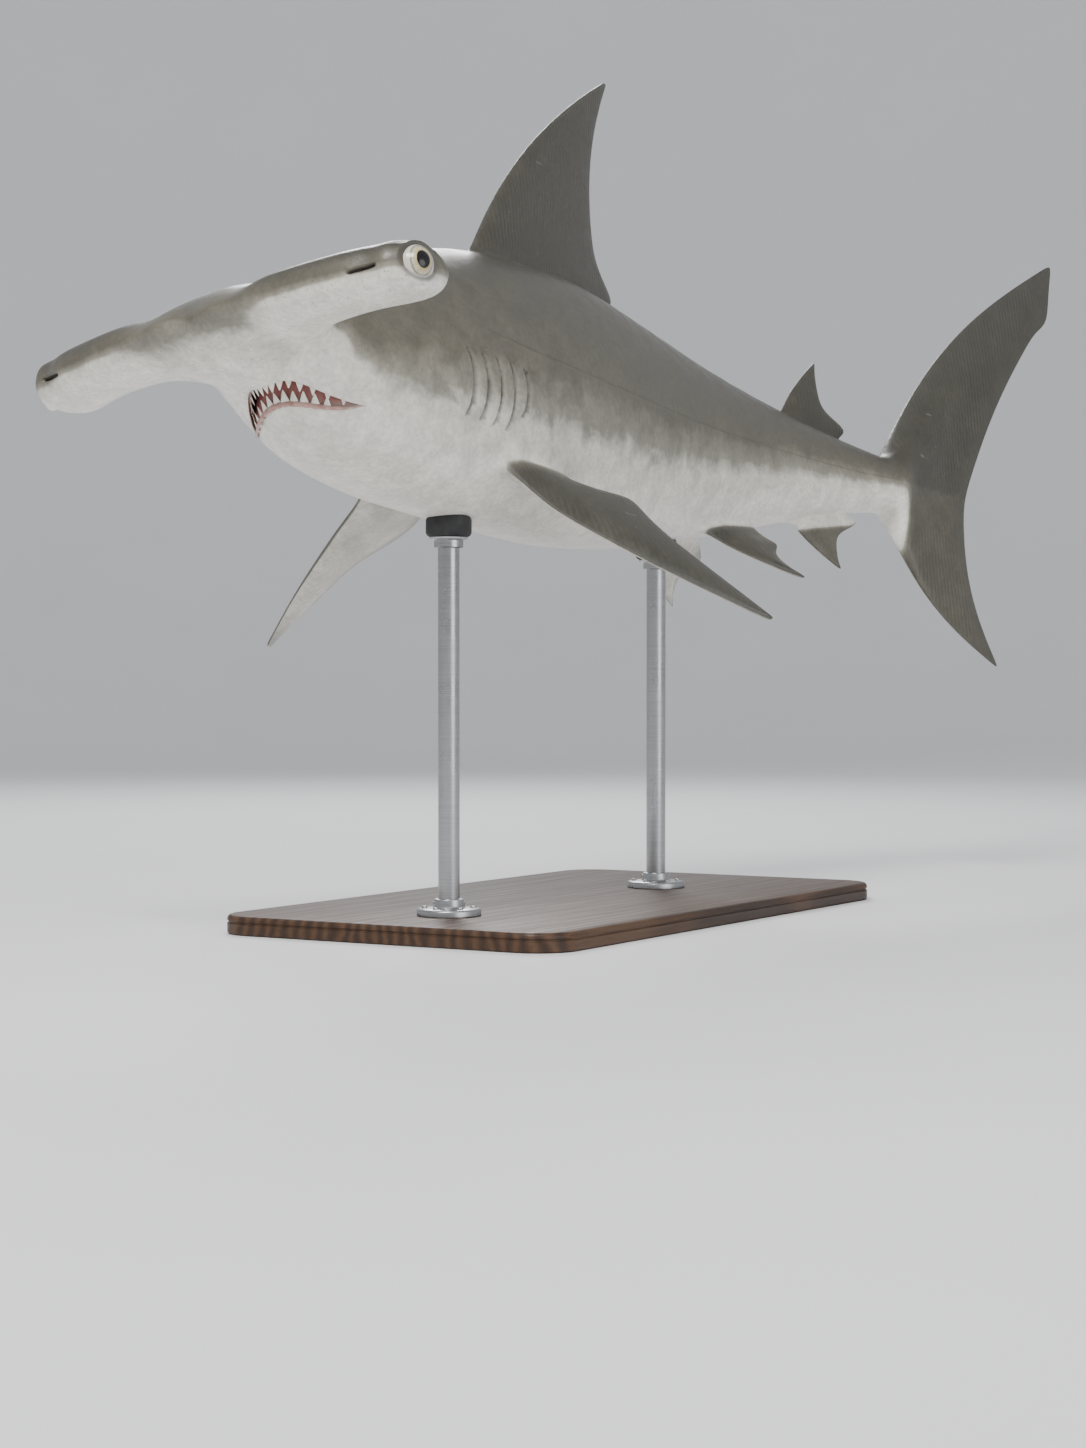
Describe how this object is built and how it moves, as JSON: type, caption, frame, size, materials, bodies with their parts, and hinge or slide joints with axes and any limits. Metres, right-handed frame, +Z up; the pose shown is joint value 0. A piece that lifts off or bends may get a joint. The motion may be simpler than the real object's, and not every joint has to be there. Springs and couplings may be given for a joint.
{
  "type": "hammerhead shark",
  "caption": "Life-size swimming great hammerhead shark with its tail swung to its left, carried on two rods above a flat base",
  "frame": {"origin": "middle of the underside of the stand's base", "axes": "-Y is the way the shark heads, +X its left, +Z up"},
  "size_m": [1.182, 3.1467, 1.8711],
  "materials": {
    "skin": "satin, wet-looking olive grey hide",
    "belly": "satin, off-white hide",
    "eye": "high gloss, pale gold iris with a black pupil",
    "stand_base": "dark stained, satin lacquer",
    "stand_metal": "brushed",
    "stand_pad": "matte"
  },
  "bodies": {
    "root": {"head": "skin", "hammer_left": "skin", "hammer_right": "skin", "lower_jaw": "belly", "gill_region": "skin", "trunk": "skin", "tail_stalk": "skin", "caudal_fin_upper": "skin", "caudal_fin_lower": "skin", "dorsal_fin_first": "skin", "dorsal_fin_second": "skin", "anal_fin": "skin", "pectoral_fin_left": "skin", "pectoral_fin_right": "skin", "pelvic_fin_left": "skin", "pelvic_fin_right": "skin", "eye_left": "eye", "eye_right": "eye", "stand_base": "stand_base", "stand_rod_front": "stand_metal", "stand_rod_rear": "stand_metal", "stand_flange_front": "stand_metal", "stand_flange_rear": "stand_metal", "stand_saddle_front": "stand_pad", "stand_saddle_rear": "stand_pad"}
  },
  "joints": []
}
